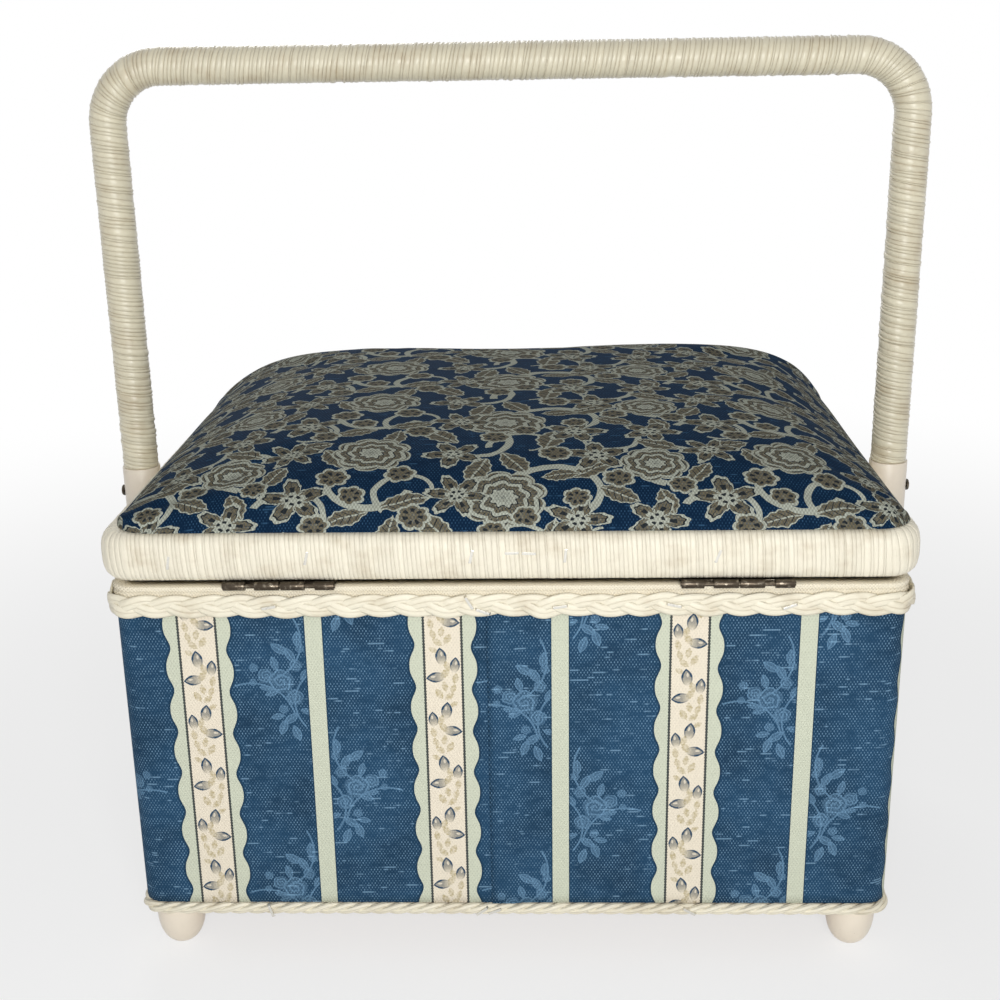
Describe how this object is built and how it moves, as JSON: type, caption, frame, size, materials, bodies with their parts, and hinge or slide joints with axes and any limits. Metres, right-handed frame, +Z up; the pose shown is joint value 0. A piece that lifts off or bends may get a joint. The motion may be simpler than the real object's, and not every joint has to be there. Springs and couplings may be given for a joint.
{
  "type": "sewing basket",
  "caption": "Fabric covered sewing basket with a padded hinged lid, a wound swing handle, domed feet and a lift-out tray of compartments.",
  "frame": {"origin": "on the floor at the middle of the box's footprint", "axes": "+Z up, +Y towards the hinge side, +X to the right when the side without hinges is seen from in front"},
  "size_m": [0.3378, 0.1976, 0.3494],
  "materials": {
    "box_board": "matte",
    "printed_fabric": "matte",
    "lid_fabric": "matte",
    "lid_padding": "matte",
    "satin": "satin",
    "paper_cord": "matte",
    "woven_tape": "matte",
    "pale_plastic": "satin",
    "tray_plastic": "satin",
    "tube_metal": "satin",
    "bronze": "satin",
    "lining_card": "satin"
  },
  "bodies": {
    "box": {"base_board": "box_board", "floor_panel": "lining_card", "bottom_cord": "paper_cord", "foot_front_right": "pale_plastic", "foot_front_left": "pale_plastic", "foot_rear_left": "pale_plastic", "foot_rear_right": "pale_plastic", "wall_shell": "box_board", "printed_cover": "printed_fabric", "wall_lining": "satin", "rim_tape": "woven_tape", "top_braid": "paper_cord", "tray_ledge_left": "box_board", "tray_ledge_right": "box_board", "hinge_left_box_leaf": "bronze", "hinge_right_box_leaf": "bronze", "hinge_left_pin": "bronze", "hinge_right_pin": "bronze", "pivot_screw_left": "bronze", "pivot_screw_right": "bronze", "pivot_spacer_left": "pale_plastic", "pivot_spacer_right": "pale_plastic", "pivot_nut_left": "bronze", "pivot_nut_right": "bronze"},
    "lid": {"lid_frame": "box_board", "rim_winding": "paper_cord", "lid_board": "box_board", "pad_foam": "lid_padding", "pad_cover": "lid_fabric", "lid_lining": "lining_card", "pincushion": "satin", "hinge_left_lid_leaf": "bronze", "hinge_right_lid_leaf": "bronze"},
    "handle": {"handle_tube": "tube_metal", "handle_winding": "paper_cord", "handle_socket_left": "pale_plastic", "handle_socket_right": "pale_plastic", "socket_screw_left": "bronze", "socket_screw_right": "bronze"},
    "tray": {"tray": "tray_plastic"}
  },
  "joints": [
    {"name": "lid_hinge", "type": "hinge", "parent": "box", "child": "lid", "pos_m": [0, 0.0975, 0.1599], "axis": [-1, 0, 0], "range_deg": [0, 100]},
    {"name": "handle_swing", "type": "hinge", "parent": "box", "child": "handle", "pos_m": [0, 0, 0.139], "axis": [1, 0, 0], "range_deg": [-128, 128]},
    {"name": "tray_lift", "type": "slide", "parent": "box", "child": "tray", "axis": [0, 0, 1], "range_m": [0, 0.012]}
  ]
}
